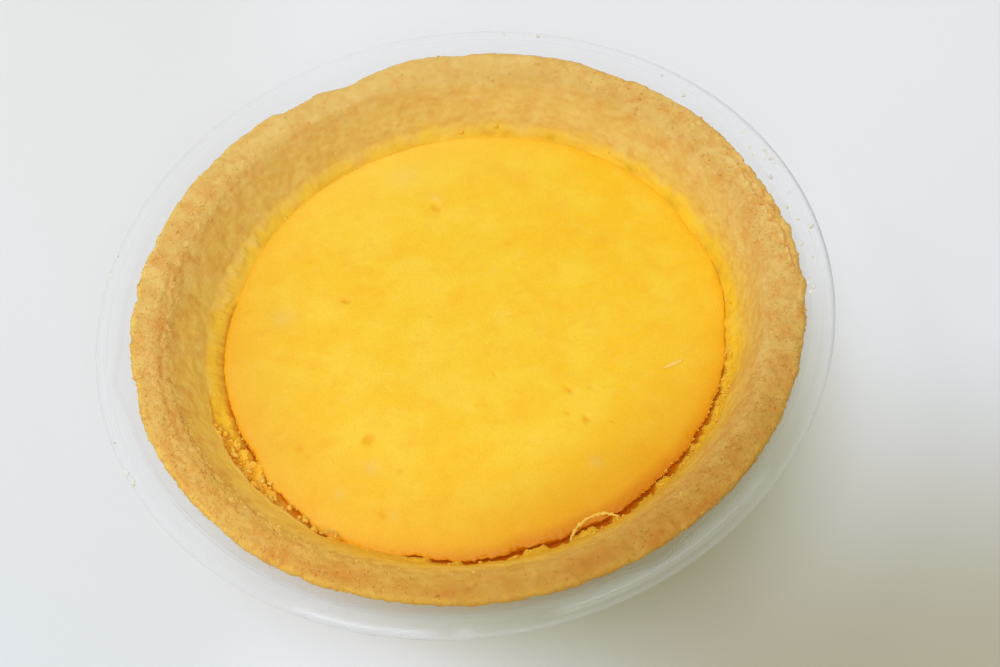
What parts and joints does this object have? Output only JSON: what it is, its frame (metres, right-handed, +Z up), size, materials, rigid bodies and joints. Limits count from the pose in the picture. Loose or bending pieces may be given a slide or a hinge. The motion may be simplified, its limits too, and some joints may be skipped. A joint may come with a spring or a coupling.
{
  "type": "cheese tart",
  "caption": "Round baked cheese tart: flared shortcrust shell with a wide crumbly rim, domed yellow filling, in a thin clear plastic tray with a stepped flange.",
  "frame": {"origin": "middle of the tray's underside, where it rests on the table", "axes": "+Z up, -Y towards the near side that the picture was taken from, +X to its right"},
  "size_m": [0.0822, 0.0822, 0.0189],
  "materials": {
    "crust": "baked shortcrust pastry, matt and crumbly, pale gold to light brown",
    "filling": "baked cheese filling, smooth and faintly moist, yellow, more orange to the edge",
    "clear_plastic": "thin clear thermoformed plastic sheet, glossy"
  },
  "bodies": {
    "root": {"crust": "crust", "filling": "filling", "tray": "clear_plastic"}
  },
  "joints": []
}
